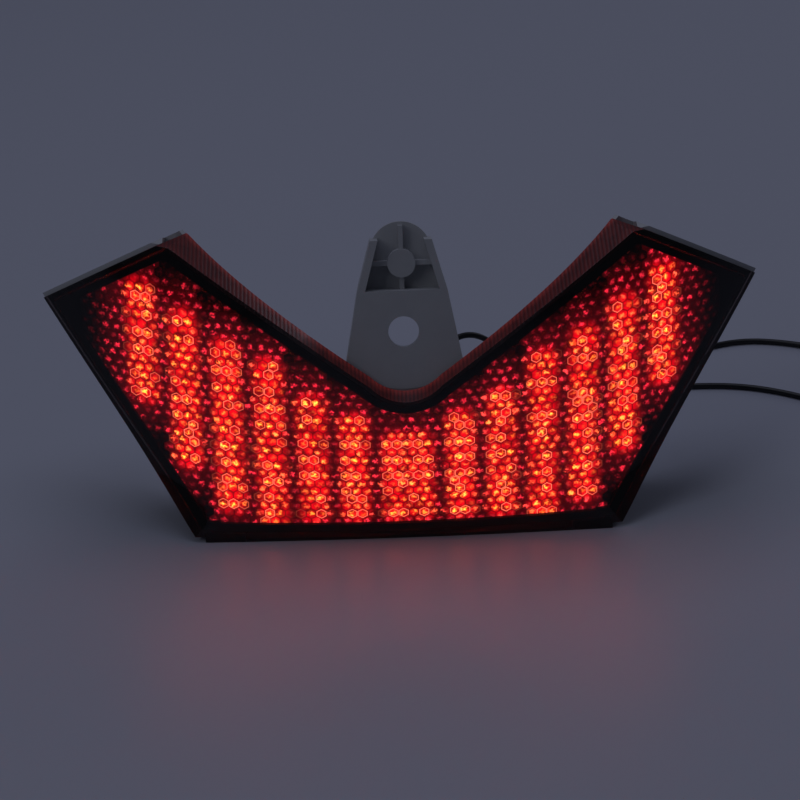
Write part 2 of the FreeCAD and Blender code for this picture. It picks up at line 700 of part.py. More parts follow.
def turned(profile):
    """A solid of revolution about +Z from (radius, height) points."""
    points = [Vector(radius, 0, height) for radius, height in profile]
    wire = Part.makePolygon(points + points[:1])
    return Part.Face(wire).revolve(Vector(0, 0, 0), Vector(0, 0, 1), 360)


def led_form():
    """One 5 mm LED standing on +Z: flange, body and dome."""
    radius = size("led_radius")
    dome_start = size("led_height") - radius
    flange = Part.makeCylinder(size("led_flange_radius"), size("led_flange"))
    shank = Part.makeCylinder(radius, dome_start)
    dome = Part.makeSphere(radius, Vector(0, 0, dome_start))
    return flange.fuse([shank, dome]).removeSplitter()


def make_leds():
    """Fourteen columns of LEDs, each column one node."""
    form = led_form()
    for side, word in ((-1, "left"), (1, "right")):
        for index, count in enumerate(COLUMN_COUNTS):
            leds = []
            for row in range(count):
                height = size(f"column_low_{index}") + row * size("led_pitch")
                point, normal = on_board(side, column_foot_x(index), height)
                led = form.copy()
                led.Placement = facing(point, normal)
                leds.append(led)
            shape_piece(f"led_column_{word}_{index + 1}", Part.makeCompound(leds))


def make_screws():
    """Pan-head screws that hold the boards to their posts, one node."""
    head, shank = size("screw_head_radius"), size("screw_radius")
    length, rise = size("screw_length"), size("screw_head")
    form = turned([(0, -length), (shank * 0.5, -length), (shank, -length + shank), (shank, 0), (head, 0),
                   (head, rise * 0.5), (head * 0.7, rise * 0.93), (0, rise)])
    slot = Part.makeBox(head * 1.3, 0.6, rise * 0.6, Vector(-head * 0.65, -0.3, rise * 0.5))
    cross = slot.copy()
    cross.rotate(Vector(0, 0, 0), Vector(0, 0, 1), 90)
    form = form.cut([slot, cross])
    screws = []
    for side, x, height in screw_places():
        point, normal = on_board(side, x, height)
        screw = form.copy()
        screw.Placement = facing(point, normal)
        screws.append(screw)
    shape_piece("board_screws", Part.makeCompound(screws))


def back_component(side, x, height, radius, length):
    """A cylinder with rounded ends lying upright against the back of a board."""
    point, normal = on_board(side, x, height)
    centre = point - normal * (size("board") + radius)
    edge = radius * 0.35
    form = turned([(0, 0), (radius - edge, 0), (radius, edge), (radius, length - edge), (radius - edge, length),
                   (0, length)])
    form.translate(centre - Vector(0, 0, length / 2))
    return form


def make_back_components():
    """Resistors behind each board, one for each column, and two diodes behind the centre board."""
    groups = {"resistors_left": [], "resistors_centre": [], "resistors_right": []}
    for side, word in ((-1, "left"), (1, "right")):
        for index in range(len(COLUMN_COUNTS)):
            x = column_foot_x(index)
            height = size(f"column_low_{index}") + size("led_pitch") * 2.5
            wing = index > 2
            name = "resistors_" + word if wing else "resistors_centre"
            item = back_component(side, x, height, size("resistor_radius"), size("resistor_length"))
            groups[name].append(item)
    for name, items in groups.items():
        shape_piece(name, Part.makeCompound(items))
    diodes = [back_component(-1, x, size("signal_exit_height"), size("diode_radius"), size("diode_length"))
              for x in (9.0, 23.0)]
    shape_piece("protection_diodes", Part.makeCompound(diodes))


def make_jumpers():
    """Two short wires on each side that join the centre board to a wing board."""
    for side, word in ((-1, "left"), (1, "right")):
        wires = []
        for height in (14.0, 30.0):
            lift = size("jumper_radius") + size("board")
            inner, inner_normal = on_board(side, size("centre_board_half") - 3, height)
            outer, outer_normal = on_board(side, size("wing_board_x") + 1.8, height)
            start = inner - inner_normal * lift
            end = outer - outer_normal * lift
            wires.append(Part.makeCylinder(size("jumper_radius"), (end - start).Length, start, end - start))
        shape_piece("board_jumpers_" + word, Part.makeCompound(wires))


# ---------------------------------------------------------------- grommets, inner leads, breather

def pad_depth():
    """Depth of the flat end of the pads that the grommets sit on."""
    return size("back_depth") + size("gland_pad")


def grommet_end():
    """Depth of the end of a grommet's tail, where the free lead begins."""
    return pad_depth() + size("grommet_lip") + size("grommet_tail")


def make_grommet(name, x, height):
    """Rubber grommet with a tapered tail, turned about the lead."""
    bore = size("lead_radius") + 0.05
    inner = size("back_depth") - size("housing_wall") - 0.6
    neck = size("grommet_neck") - 0.05
    pad, lip = pad_depth() + 0.02, size("grommet_lip")
    flange, tail = size("grommet_flange"), size("grommet_tail")
    profile = [(bore, inner), (neck, inner), (neck, pad), (flange, pad), (flange, pad + lip * 0.6),
               (flange - lip * 0.4, pad + lip), (bore + 1.4, pad + lip), (bore + 0.8, grommet_end()),
               (bore, grommet_end())]
    form = turned(profile)
    form.Placement = Placement(Vector(x, 0, height), Rotation(Vector(0, 0, 1), Vector(0, 1, 0)))
    shape_piece("grommet_" + name, form)


def make_inner_leads():
    """The last stretch of each lead, through its grommet to the back of the centre board."""
    start = size("centre_board_depth") + size("board")
    wires = []
    for _, x, height in gland_places():
        length = grommet_end() - 0.5 - start
        wires.append(Part.makeCylinder(size("lead_radius"), length, Vector(x, start, height), Vector(0, 1, 0)))
    shape_piece("inner_leads", Part.makeCompound(wires))


def make_breather():
    """Small rubber breather plug low in the back wall."""
    x, height = size("breather_x"), size("breather_height")
    wall = face_depth(x, height) + size("back_depth")
    neck = size("breather_radius") - 0.05
    head = size("breather_head")
    profile = [(0.6, wall - size("housing_wall") - 0.5), (neck, wall - size("housing_wall") - 0.5),
               (neck, wall + 0.6), (head, wall + 0.6), (head, wall + 1.8), (head - 0.8, wall + 2.6),
               (0.6, wall + 2.6)]
    form = turned(profile)
    form.Placement = Placement(Vector(x, 0, height), Rotation(Vector(0, 0, 1), Vector(0, 1, 0)))
    shape_piece("breather_plug", form)


# ---------------------------------------------------------------- free leads

def rounded_path(points):
    """Straight runs joined by tangent arcs; each arc is as large as its two runs allow."""
    edges = []
    radii = []
    start = points[0]
    for before, corner, after in zip(points, points[1:], points[2:]):
        into, out = (before - corner), (after - corner)
        turn = math.pi - into.getAngle(out)
        reach = 0.45 * min(into.Length, out.Length)
        radii.append(reach / math.tan(turn / 2))
        first = corner + into.normalize() * reach
        last = corner + out.normalize() * reach
        bisector = (into + out).normalize()
        centre_distance = radii[-1] / math.cos(turn / 2)
        middle = corner + bisector * (centre_distance - radii[-1])
        edges.append(Part.LineSegment(start, first).toShape())
        edges.append(Part.Arc(first, middle, last).toShape())
        start = last
    edges.append(Part.LineSegment(start, points[-1]).toShape())
    return Part.Wire(edges), radii


def make_lead(name, points, coil):
    """A free lead: a round tube along its route, which ends against its coil."""
    radius = size("lead_radius")
    path, radii = rounded_path([Vector(*point) for point in points])
    direction = path.Edges[0].tangentAt(path.Edges[0].FirstParameter)
    section = Part.Wire(Part.makeCircle(radius, Vector(*points[0]), direction))
    tube = path.makePipeShell([section], True, True, 2)
    expected = math.pi * radius * radius * path.Length
    if abs(tube.Volume - expected) > 0.01 * expected:
        raise RuntimeError(name + ": the tube's volume does not match its path")
    rounded = ", ".join(f"{value:.0f}" for value in radii)
    print(f"{name}: length {path.Length:.1f} mm, arc radii {rounded} mm")
    free_piece(name, tube.cut(coil))


# The leads lie in the frame of the whole light: their points are X, Y and Z from its origin.
def lead_start(x, height):
    """Where a free lead begins, at the end of its grommet."""
    return (x, grommet_end() + FORWARD.y, height)


SIGNAL_ROUTE = [
    lead_start(size("signal_exit_x"), size("signal_exit_height")),
    (10.0, 11.7, 33.0),
    (12.0, 21.2, 38.5),
    (18.6, 27.7, 42.6),
    (27.5, 32.2, 40.0),
    (35.0, 35.7, 29.5),
    (43.5, 41.7, 17.0),
    (54.0, 49.7, 6.2),
    (66.5, 59.7, 1.6),
    (81.0, 71.2, 1.0),
    (96.0, 84.2, 1.0),
    (110.0, 93.7, 1.0),
    (125.0, 98.2, 1.0),
    (140.0, 95.2, 1.0),
    (154.0, 87.7, 1.2),
    (165.5, 78.2, 1.9),
]
MAIN_ROUTE = [
    lead_start(size("main_exit_x"), size("main_exit_height")),
    (10.0, 11.2, 14.0),
    (13.2, 21.2, 9.0),
    (21.0, 29.7, 3.0),
    (32.0, 36.2, 1.0),
    (46.0, 41.7, 1.0),
    (61.0, 49.2, 1.0),
    (75.0, 57.7, 1.0),
    (89.0, 63.7, 1.0),
    (104.0, 64.7, 1.0),
    (119.0, 63.2, 1.0),
    (132.5, 57.7, 1.0),
    (145.0, 49.2, 1.0),
    (155.5, 39.7, 1.2),
    (164.0, 31.2, 1.9),
]


def free_piece(label, shape):
    """A piece of a free lead, already in the frame of the whole light."""
    feature = doc.addObject("Part::Feature", label)
    feature.Label = label
    feature.Shape = shape
    pieces.append(feature)


def tie_inner():
    """Half the opening of a coil tie; the turns bend a little inside it."""
    return size("coil_half") + 2 * size("fit_gap")


def coil_middle():
    """Height of the middle of a coil, which is also the axis of the connector beside it."""
    return size("tie") + tie_inner()


def coil_ring(centre):
    """The ring that stands for the turns of a coil."""
    radius, half = size("coil_radius"), size("coil_half")
    base = Vector(centre[0], centre[1], coil_middle() - half)
    outer = Part.makeCylinder(radius + half, 2 * half, base)
    return outer.cut(Part.makeCylinder(radius - half, 2 * half, base))


def tail_end(centre):
    """Where a lead that has left its coil towards -Y reaches its connector."""
    return Vector(centre[0] + size("coil_radius"), centre[1] - size("tail"), coil_middle())


def make_coil(name, centre, tie_angle):
    """The put-away length of a lead: a ring for its turns, the tie round them and the tail."""
    radius, inner, width = size("coil_radius"), tie_inner(), size("tie_width")
    outer = inner + size("tie")
    ring = coil_ring(centre)
    strap = Part.makeBox(width, 2 * outer, 2 * outer, Vector(-width / 2, radius - outer, 0))
    opening = Part.makeBox(width, 2 * inner, 2 * inner, Vector(-width / 2, radius - inner, size("tie")))
    strap = strap.cut(opening)
    strap.rotate(Vector(0, 0, 0), Vector(0, 0, 1), tie_angle)
    strap.translate(Vector(centre[0], centre[1], 0))
    end = tail_end(centre)
    tail = Part.makeCylinder(size("lead_radius"), size("tail") * 0.8, end, Vector(0, 1, 0))
    free_piece(name + "_coil", ring)
    free_piece(name + "_coil_tie", strap)
    free_piece(name + "_tail", tail.cut(ring))


def box_sketch(body, name, half_x, half_z, ahead):
    """A rectangle about the body's Y axis, on a plane that lies ahead along it."""
    sketch = body.newObject("Sketcher::SketchObject", name)
    sketch.AttachmentSupport = [(plane_of(body, "XZ_Plane"), "")]
    sketch.MapMode = "FlatFace"
    if ahead:
        sketch.setExpression("AttachmentOffset.Base.z", "-" + ahead)
    x, z = size(half_x), size(half_z)
    points = [(-x, -z), (x, -z), (x, z), (-x, z)]
    across, along = "Sizes." + half_x, "Sizes." + half_z
    names = {}
    for index, (px, pz) in enumerate(points):
        names[(index, 0)] = across if px > 0 else "-" + across
        names[(index, 1)] = along if pz > 0 else "-" + along
    closed_outline(sketch, points, names)
    doc.recompute()
    return sketch


def make_plug(centre):
    """Two-way plug of the main lead: an open-ended shell with two blades in it."""
    body = doc.addObject("PartDesign::Body", "plug_shell")
    body.Label = "plug_shell"
    block = body.newObject("PartDesign::Pad", "plug_block")
    block.Profile = box_sketch(body, "plug_outline", "plug_half_x", "plug_half_z", None)
    block.setExpression("Length", "Sizes.plug_length")
    block.Reversed = True
    doc.recompute()
    solid = body.Shape.Volume
    mouth = body.newObject("PartDesign::Pocket", "plug_mouth")
    mouth.Profile = box_sketch(body, "plug_opening", "mouth_half_x", "mouth_half_z", "Sizes.plug_length")
    mouth.setExpression("Length", "Sizes.mouth_depth")
    mouth.Reversed = True
    doc.recompute()
    opened = solid - body.Shape.Volume
    if abs(opened - 4 * size("mouth_half_x") * size("mouth_half_z") * size("mouth_depth")) > 1:
        raise RuntimeError("the mouth of the plug is not cut as meant")
    body.Placement = Placement(tail_end(centre), Rotation(Vector(0, 0, 1), 180))
    pieces.append(body)

    blades = []
    floor = size("plug_length") - size("mouth_depth")
    for side in SIDES:
        corner = Vector(side * size("blade_offset") - size("blade_half"), floor, -0.4)
        blades.append(Part.makeBox(2 * size("blade_half"), size("mouth_depth") - 1.0, 0.8, corner))
    blades = Part.makeCompound(blades)
    blades.Placement = body.Placement
    free_piece("plug_blades", blades)


def make_bullet(centre):
    """Bullet connector of the signal lead: a soft sleeve and the brass pin in it."""
    radius, length = size("sleeve_radius"), size("sleeve_length")
    core = size("pin_radius") + 0.3
    sleeve = turned([(size("lead_radius"), 0), (radius * 0.6, 0), (radius, length * 0.3), (radius, length),
                     (core, length), (core, length * 0.4), (size("lead_radius"), length * 0.4)])
    neck = size("pin_radius") * 0.7
    tip = length + size("pin_out")
    pin = turned([(0, length * 0.45), (size("pin_radius"), length * 0.45), (size("pin_radius"), length * 0.95),
                  (neck, length), (neck, length + 1), (size("pin_radius"), length + 1.8),
                  (size("pin_radius"), tip - 1), (neck, tip), (0, tip)])
    place = Placement(tail_end(centre), Rotation(Vector(0, 0, 1), Vector(0, -1, 0)))
    sleeve.Placement = place
    pin.Placement = place
    free_piece("bullet_sleeve", sleeve)
    free_piece("bullet_pin", pin)


MAIN_COIL = (156.2, 23.4)
SIGNAL_COIL = (158.7, 69.6)


make_lens()
make_bead()
make_bezel()
make_optic()
make_housing()
make_boards()
make_leds()
make_screws()
make_back_components()
make_jumpers()
for gland, gland_x, gland_height in gland_places():
    make_grommet(gland, gland_x, gland_height)
make_inner_leads()
make_breather()
make_lead("lead_signal", SIGNAL_ROUTE, coil_ring(SIGNAL_COIL))
make_lead("lead_main", MAIN_ROUTE, coil_ring(MAIN_COIL))
make_coil("lead_signal", SIGNAL_COIL, 130)
make_coil("lead_main", MAIN_COIL, 130)
make_plug(MAIN_COIL)
make_bullet(SIGNAL_COIL)
doc.recompute()

for item in doc.Objects:
    if "Invalid" in item.State or "Error" in item.State:
        raise RuntimeError(item.Label + " failed: " + ", ".join(item.State))
for piece in pieces:
    if piece.Shape.isNull() or not piece.Shape.isValid():
        raise RuntimeError(piece.Label + " has no valid shape")
for piece in pieces:
    piece.Shape.exportStep(os.path.join("parts", piece.Label + ".step"))
print(len(pieces), "pieces written")
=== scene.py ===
import json
import math

import bmesh
import bpy
from mathutils import Matrix, Vector


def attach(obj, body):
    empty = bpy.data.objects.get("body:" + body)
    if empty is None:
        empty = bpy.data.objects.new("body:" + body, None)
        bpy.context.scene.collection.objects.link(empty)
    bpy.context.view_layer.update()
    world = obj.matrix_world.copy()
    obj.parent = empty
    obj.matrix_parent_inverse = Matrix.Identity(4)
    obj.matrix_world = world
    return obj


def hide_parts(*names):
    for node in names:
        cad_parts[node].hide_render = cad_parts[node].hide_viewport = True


# Looks of the LED tail light: smoked lens over a lit prism plate, grey housing, black leads.
# Everything is in metres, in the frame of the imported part.

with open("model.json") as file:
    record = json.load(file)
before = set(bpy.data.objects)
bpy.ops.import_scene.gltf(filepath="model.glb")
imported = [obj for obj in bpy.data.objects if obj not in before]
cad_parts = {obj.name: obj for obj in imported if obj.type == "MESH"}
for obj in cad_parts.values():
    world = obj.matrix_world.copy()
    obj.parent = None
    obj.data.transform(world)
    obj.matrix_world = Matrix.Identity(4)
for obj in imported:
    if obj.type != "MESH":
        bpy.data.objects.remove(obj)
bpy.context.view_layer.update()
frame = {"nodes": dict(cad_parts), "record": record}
nodes = frame["nodes"]
MM = 0.001


# ---------------------------------------------------------------- camera

CAMERA_YAW = math.radians(-1.35)
CAMERA_ROLL = math.radians(1.42)
CAMERA_RISE = math.radians(28.0)
CAMERA_AWAY = 870.0                 # mm from the target
CAMERA_TARGET = (0.0, -33.2, 50.0)  # mm, on the front of the lens
CAMERA_LENS = 126.54                # mm, on a sensor 36 mm wide
CAMERA_SHIFT = (-0.00825, 0.0046)


def set_camera():
    """Camera looking down at the front of the lens."""
    yaw, roll, rise = CAMERA_YAW, CAMERA_ROLL, CAMERA_RISE
    right = Vector((math.cos(yaw), math.sin(yaw), 0))
    ahead = Vector((-math.sin(yaw), math.cos(yaw), 0))
    forward = ahead * math.cos(rise) - Vector((0, 0, math.sin(rise)))
    up = ahead * math.sin(rise) + Vector((0, 0, math.cos(rise)))
    side = right * math.cos(roll) - up * math.sin(roll)
    top = right * math.sin(roll) + up * math.cos(roll)
    data = bpy.data.cameras.new("camera")
    data.lens, data.sensor_width = CAMERA_LENS, 36.0
    data.shift_x, data.shift_y = CAMERA_SHIFT
    camera = bpy.data.objects.new("camera", data)
    turn = Matrix((side, top, -forward)).transposed().to_4x4()
    target = Vector(CAMERA_TARGET) * MM
    camera.matrix_world = Matrix.Translation(target - forward * CAMERA_AWAY * MM) @ turn
    bpy.context.scene.collection.objects.link(camera)
    bpy.context.scene.camera = camera


# ---------------------------------------------------------------- materials

def linear(text):
    """An sRGB hex colour as linear RGBA."""
    parts = [int(text[i:i + 2], 16) / 255 for i in (1, 3, 5)]
    return [c / 12.92 if c <= 0.04045 else ((c + 0.055) / 1.055) ** 2.4 for c in parts] + [1.0]


def add(tree, kind, inputs=None, **settings):
    """Add a shader node with its settings, values and links; gives its first output."""
    node = tree.nodes.new("ShaderNode" + kind)
    for name, value in settings.items():
        setattr(node, name, value)
    for key, value in (inputs or {}).items():
        if isinstance(value, bpy.types.NodeSocket):
            tree.links.new(value, node.inputs[key])
        else:
            node.inputs[key].default_value = value
    return node.outputs[0]


def new_material(name):
    """An empty material, its node tree, its Principled node and Object coordinates in metres."""
    material = bpy.data.materials.new(name)
    material.use_nodes = True
    tree = material.node_tree
    place = add(tree, "TexCoord").node.outputs["Object"]
    return material, tree, tree.nodes["Principled BSDF"], place


def moulded(name, dark, light, rough, grain_mm, depth, coat=0.0):
    """Moulded or sheathed plastic: two close tones, an even grain and a faint bump."""
    material, tree, skin, place = new_material(name)
    tone = add(tree, "TexNoise", {"Vector": place, "Scale": 1 / (9 * MM), "Detail": 3.0})
    colour = add(tree, "ValToRGB", {0: tone}).node
    colour.color_ramp.elements[0].position, colour.color_ramp.elements[0].color = 0.35, linear(dark)
    colour.color_ramp.elements[1].position, colour.color_ramp.elements[1].color = 0.65, linear(light)
    grain = add(tree, "TexNoise", {"Vector": place, "Scale": 1 / (grain_mm * MM), "Detail": 2.0})
    sheen = add(tree, "MapRange", {0: grain, 3: rough - 0.06, 4: rough + 0.08})
    bump = add(tree, "Bump", {"Strength": 0.5, "Distance": depth * MM, "Height": grain})
    tree.links.new(colour.outputs[0], skin.inputs["Base Color"])
    tree.links.new(sheen, skin.inputs["Roughness"])
    tree.links.new(bump, skin.inputs["Normal"])
    skin.inputs["IOR"].default_value = 1.5
    skin.inputs["Coat Weight"].default_value = coat
    return material


def brushed(name, dark, light, rough):
    """Plated or rolled metal with a fine uneven finish."""
    material, tree, skin, place = new_material(name)
    tone = add(tree, "TexNoise", {"Vector": place, "Scale": 1 / (1.5 * MM), "Detail": 4.0})
    colour = add(tree, "ValToRGB", {0: tone}).node
    colour.color_ramp.elements[0].color = linear(dark)
    colour.color_ramp.elements[1].color = linear(light)
    sheen = add(tree, "MapRange", {0: tone, 3: rough - 0.05, 4: rough + 0.1})
    tree.links.new(colour.outputs[0], skin.inputs["Base Color"])
    tree.links.new(sheen, skin.inputs["Roughness"])
    skin.inputs["Metallic"].default_value = 1.0
    return material


def smoked_acrylic():
    """Smoked acrylic lens face: clear and polished, with a dark red-brown tint and faint flow marks."""
    material, tree, skin, place = new_material("smoked_acrylic_face")
    tone = add(tree, "TexNoise", {"Vector": place, "Scale": 1 / (30 * MM), "Detail": 1.0})
    colour = add(tree, "ValToRGB", {0: tone}).node
    colour.color_ramp.elements[0].color = linear("#6f5f5e")
    colour.color_ramp.elements[1].color = linear("#7a6967")
    wave = add(tree, "TexNoise", {"Vector": place, "Scale": 1 / (12 * MM), "Detail": 1.0})
    bump = add(tree, "Bump", {"Strength": 0.15, "Distance": 0.1 * MM, "Height": wave})
    tree.links.new(colour.outputs[0], skin.inputs["Base Color"])
    tree.links.new(bump, skin.inputs["Normal"])
    skin.inputs["Roughness"].default_value = 0.03
    skin.inputs["IOR"].default_value = 1.49
    skin.inputs["Transmission Weight"].default_value = 1.0
    return material


RIB = 1.2               # mm from rib to rib in the walls of the V
JOINT_RADIUS = 90.0     # mm, plan radius of the joint line behind the V
JOINT_CENTRE = 62.9     # mm, depth of the middle of that arc


def smoked_wall(name, dark, light, glow, joint_glow):
    """Ribbed wall of the smoked lens: fine ribs behind polished acrylic, with a painted red glow of the
    LEDs inside and a painted highlight where it is joined.
    """
    material, tree, skin, place = new_material(name)
    ribs = add(tree, "TexWave", {"Vector": place, "Scale": 2 * math.pi / (20 * RIB * MM), "Distortion": 0.4,
                                 "Detail": 1.0}, bands_direction="X")
    tone = add(tree, "TexNoise", {"Vector": place, "Scale": 1 / (4 * MM), "Detail": 3.0})
    faint = add(tree, "Math", {0: ribs, 1: 0.4}, operation="MULTIPLY")
    mixed = add(tree, "Math", {0: faint, 1: tone}, operation="ADD")
    colour = add(tree, "ValToRGB", {0: mixed}).node
    colour.color_ramp.elements[0].position, colour.color_ramp.elements[0].color = 0.3, linear(dark)
    colour.color_ramp.elements[1].position, colour.color_ramp.elements[1].color = 0.95, linear(light)
    # the joint follows an arc in plan; the last 3 mm before it get a painted highlight, a stronger emission
    axes = add(tree, "SeparateXYZ", {0: place}).node.outputs
    x_two = add(tree, "Math", {0: axes["X"], 1: axes["X"]}, operation="MULTIPLY")
    inside = add(tree, "Math", {0: (JOINT_RADIUS * MM) ** 2, 1: x_two}, operation="SUBTRACT")
    root = add(tree, "Math", {0: inside, 1: 0.5}, operation="POWER")
    joint = add(tree, "Math", {0: JOINT_CENTRE * MM, 1: root}, operation="SUBTRACT")
    before = add(tree, "Math", {0: joint, 1: axes["Y"]}, operation="SUBTRACT")
    near = add(tree, "MapRange", {0: before, 1: 0.4 * MM, 2: 3.2 * MM, 3: joint_glow, 4: 1.0})
    painted_wall_glow = add(tree, "VectorMath", {0: colour.outputs[0]}, operation="SCALE").node
    tree.links.new(near, painted_wall_glow.inputs["Scale"])
    bump = add(tree, "Bump", {"Strength": 0.35, "Distance": 0.1 * MM, "Height": ribs})
    tree.links.new(colour.outputs[0], skin.inputs["Base Color"])
    tree.links.new(bump, skin.inputs["Normal"])
    # the emission is a painted glow: the red light of the LEDs inside, given off by the wall itself
    tree.links.new(painted_wall_glow.outputs[0], skin.inputs["Emission Color"])
    skin.inputs["Emission Strength"].default_value = glow
    skin.inputs["Roughness"].default_value = 0.3
    skin.inputs["IOR"].default_value = 1.49
    skin.inputs["Coat Weight"].default_value = 0.3
    skin.inputs["Coat Roughness"].default_value = 0.08
    return material


LENSLET = 3.26          # mm across the flats of a hexagonal lenslet
LENSLET_ROW = 2.83      # mm from row to row
COLUMN_FIRST = 3.6      # mm from the middle to the first LED column
COLUMN_PITCH = 13.03    # mm from column to column
LED_PITCH = 6.4         # mm from LED to LED
# mm, lower and upper end of each LED column, from the middle outwards
COLUMN_ENDS = ((9, 34.6), (9, 41), (9, 47.4), (7, 58.2), (12, 63.2), (26, 70.8), (46, 78))
EULER = 2.718
HEXAGON_SLOPE = 0.866   # sine of 60 degrees, for the slanted flats of a lenslet
# colour of each kind of light on the plate, at full strength
FILLED_RED, HOT_SPARK, BRIGHT_RIM = (2.6, 0.0, 0.03), (8.5, 3.0, 0.1), (4.2, 0.9, 0.5)
DIM_SPARK, FAR_RED = (4.2, 0.12, 0.3), (0.13, 0.0, 0.004)
PLATE_GLOW = 2.2


def lit_prism():
    """Red prism plate, moulded in hexagonal lenslets and lit by the LED columns behind it.

    Each lenslet shows a small hot image of the LED; round the columns the plate is filled with red,
    and further out only dim sparks are left."""
    material, tree, skin, place = new_material("red_prism_plate_lit")
    axes = add(tree, "SeparateXYZ", {0: place}).node.outputs
    flat = add(tree, "CombineXYZ", {0: axes["X"], 1: axes["Z"]})
    cell_size = (LENSLET * MM, 2 * LENSLET_ROW * MM, 1.0)
    grid = add(tree, "VectorMath", {0: flat, 1: cell_size}, operation="DIVIDE")
    raised = add(tree, "VectorMath", {0: grid, 1: (0.5, 0.5, 0)}, operation="ADD")
    id_a = add(tree, "VectorMath", {0: raised}, operation="FLOOR")
    floor_b = add(tree, "VectorMath", {0: grid}, operation="FLOOR")
    id_b = add(tree, "VectorMath", {0: floor_b, 1: (0.5, 0.5, 0)}, operation="ADD")
    offset_a = add(tree, "VectorMath", {0: grid, 1: id_a}, operation="SUBTRACT")
    offset_b = add(tree, "VectorMath", {0: grid, 1: id_b}, operation="SUBTRACT")
    in_mm = (LENSLET, 2 * LENSLET_ROW, 0)
    local_a = add(tree, "VectorMath", {0: offset_a, 1: in_mm}, operation="MULTIPLY")
    local_b = add(tree, "VectorMath", {0: offset_b, 1: in_mm}, operation="MULTIPLY")
    length_a = add(tree, "VectorMath", {0: local_a}, operation="LENGTH").node.outputs["Value"]
    length_b = add(tree, "VectorMath", {0: local_b}, operation="LENGTH").node.outputs["Value"]
    choose = add(tree, "Math", {0: length_a, 1: length_b}, operation="LESS_THAN")
    local = add(tree, "Mix", {0: choose, 4: local_b, 5: local_a}, data_type="VECTOR").node.outputs[1]
    cell = add(tree, "Mix", {0: choose, 4: id_b, 5: id_a}, data_type="VECTOR").node.outputs[1]

    # how far a point is from the middle of its lenslet, measured square to the nearest flat
    size = add(tree, "VectorMath", {0: local}, operation="ABSOLUTE")
    across = add(tree, "SeparateXYZ", {0: size}).node.outputs
    skew = add(tree, "Math", {0: across["Y"], 1: HEXAGON_SLOPE}, operation="MULTIPLY")
    slanted = add(tree, "Math", {0: across["X"], 1: 0.5, 2: skew}, operation="MULTIPLY_ADD")
    edge = add(tree, "Math", {0: across["X"], 1: slanted}, operation="MAXIMUM")

    # chance values of the lenslet: where its spark sits, how strong it is, whether its rim shows
    chance = add(tree, "TexWhiteNoise", {"Vector": cell}, noise_dimensions="3D").node.outputs
    shift = add(tree, "VectorMath", {0: chance["Color"], 1: (0.5, 0.5, 0.5)}, operation="SUBTRACT")
    spark_at = add(tree, "VectorMath", {0: shift, 1: (0.9, 0.7, 0), 2: local}, operation="MULTIPLY_ADD")
    facets = add(tree, "TexNoise", {"Vector": place, "Scale": 1 / (0.9 * MM), "Detail": 2.0})
    uneven = facets.node.outputs["Color"]
    bend = add(tree, "VectorMath", {0: uneven, 1: (0.5, 0.5, 0.5)}, operation="SUBTRACT")
    spark_at = add(tree, "VectorMath", {0: bend, 1: (3.2, 3.2, 0), 2: spark_at}, operation="MULTIPLY_ADD")
    shape = add(tree, "VectorMath", {0: spark_at, 1: (1.2, 1.5, 0)}, operation="MULTIPLY")
    reach = add(tree, "VectorMath", {0: shape}, operation="LENGTH").node.outputs["Value"]
    reach_two = add(tree, "Math", {0: reach, 1: reach}, operation="MULTIPLY")
    fade = add(tree, "Math", {0: reach_two, 1: -1.8}, operation="MULTIPLY")
    spark = add(tree, "Math", {0: EULER, 1: fade}, operation="POWER")

    def column_light(point, width, tail):
        """Light of the nearest LED column at a point, in mm; also where the point is between LEDs."""
        last = len(COLUMN_ENDS) - 1
        spot = add(tree, "SeparateXYZ", {0: point}).node.outputs
        away = add(tree, "Math", {0: spot["X"]}, operation="ABSOLUTE")
        counted = add(tree, "MapRange", {0: away, 1: COLUMN_FIRST, 2: COLUMN_FIRST + last * COLUMN_PITCH,
                                         3: 0.0, 4: float(last)})
        index = add(tree, "Math", {0: counted}, operation="ROUND")
        axis = add(tree, "Math", {0: index, 1: COLUMN_PITCH, 2: COLUMN_FIRST}, operation="MULTIPLY_ADD")
        beside = add(tree, "Math", {0: away, 1: axis}, operation="SUBTRACT")
        place_on_ramp = add(tree, "Math", {0: index, 1: float(len(COLUMN_ENDS))}, operation="DIVIDE")
        ramp = add(tree, "ValToRGB", {0: place_on_ramp}).node
        ramp.color_ramp.interpolation = "CONSTANT"
        stops = ramp.color_ramp.elements
        while len(stops) < len(COLUMN_ENDS):
            stops.new(0.99)
        for number, (low, high) in enumerate(COLUMN_ENDS):
            stops[number].position = max(0.0, (number - 0.5) / len(COLUMN_ENDS))
            stops[number].color = (low / 100, high / 100, 0, 1)
        ends = add(tree, "SeparateColor", {0: ramp.outputs[0]}).node.outputs
        low = add(tree, "Math", {0: ends[0], 1: 100.0}, operation="MULTIPLY")
        high = add(tree, "Math", {0: ends[1], 1: 100.0}, operation="MULTIPLY")
        under = add(tree, "Math", {0: low, 1: spot["Y"]}, operation="SUBTRACT")
        over = add(tree, "Math", {0: spot["Y"], 1: high}, operation="SUBTRACT")
        out = add(tree, "Math", {0: under, 1: over}, operation="MAXIMUM")
        out = add(tree, "Math", {0: out, 1: 0.0}, operation="MAXIMUM")
        scaled = add(tree, "CombineXYZ", {0: add(tree, "Math", {0: beside, 1: width}, operation="DIVIDE"),
                                          1: add(tree, "Math", {0: out, 1: tail}, operation="DIVIDE")})
        far = add(tree, "VectorMath", {0: scaled, 1: scaled}, operation="DOT_PRODUCT").node.outputs["Value"]
        steep = add(tree, "Math", {0: far, 1: far}, operation="MULTIPLY")
        fall = add(tree, "Math", {0: steep, 1: -1.0}, operation="MULTIPLY")
        light = add(tree, "Math", {0: EULER, 1: fall}, operation="POWER")
        step = add(tree, "Math", {0: under, 1: LED_PITCH}, operation="DIVIDE")
        ripple = add(tree, "Math", {0: step, 1: 2 * math.pi}, operation="MULTIPLY")
